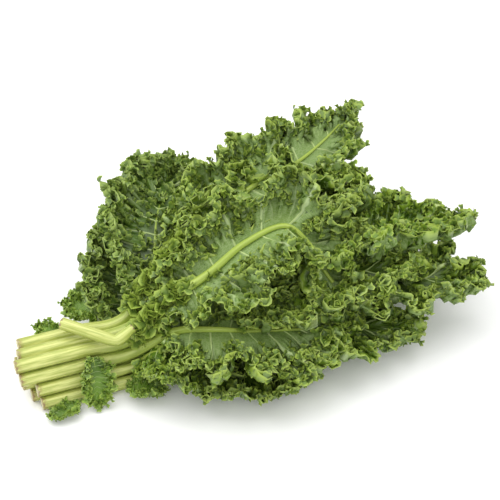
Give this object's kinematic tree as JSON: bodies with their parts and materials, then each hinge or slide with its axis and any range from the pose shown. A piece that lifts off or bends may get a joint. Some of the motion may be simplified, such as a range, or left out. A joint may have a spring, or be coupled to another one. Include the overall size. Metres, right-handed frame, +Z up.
{
  "type": "kale bunch",
  "caption": "Bunch of curly kale lying on its side, with pale cut stems and ruffled green leaves.",
  "frame": {"origin": "on the surface that the bunch lies on, below the middle of its box", "axes": "+X from the cut ends to the leaf tips, +Y to the left of that, +Z up"},
  "size_m": [0.4282, 0.2968, 0.1492],
  "materials": {
    "stem": "moist pale yellow-green stem, satin, ridged along its length",
    "blade": "waxy green leaf, satin, paler at the curled margin",
    "underside": "matt grey-green underside of a leaf with pale veins",
    "leaflet": "bright green young leaf, satin"
  },
  "bodies": {
    "root": {"leaf_01_blade": "blade", "leaf_01_stem": "stem", "leaf_02_blade": "blade", "leaf_02_stem": "stem", "leaf_03_blade": "blade", "leaf_03_stem": "stem", "leaf_04_blade": "blade", "leaf_04_stem": "stem", "leaf_05_blade": "blade", "leaf_05_stem": "stem", "leaf_06_blade": "underside", "leaf_06_stem": "stem", "leaf_07_blade": "blade", "leaf_07_stem": "stem", "leaf_08_blade": "blade", "leaf_08_stem": "stem", "leaf_09_blade": "blade", "leaf_09_stem": "stem", "leaf_10_blade": "blade", "leaf_10_stem": "stem", "leaf_11_blade": "blade", "leaf_11_stem": "stem", "leaf_12_blade": "blade", "leaf_12_stem": "stem", "leaf_13_blade": "underside", "leaf_13_stem": "stem", "leaf_14_blade": "underside", "leaf_14_stem": "stem", "leaflet_01": "leaflet", "leaflet_02": "leaflet", "leaflet_03": "leaflet", "leaflet_04": "leaflet", "leaflet_05": "leaflet", "snapped_stem": "stem"}
  },
  "joints": []
}
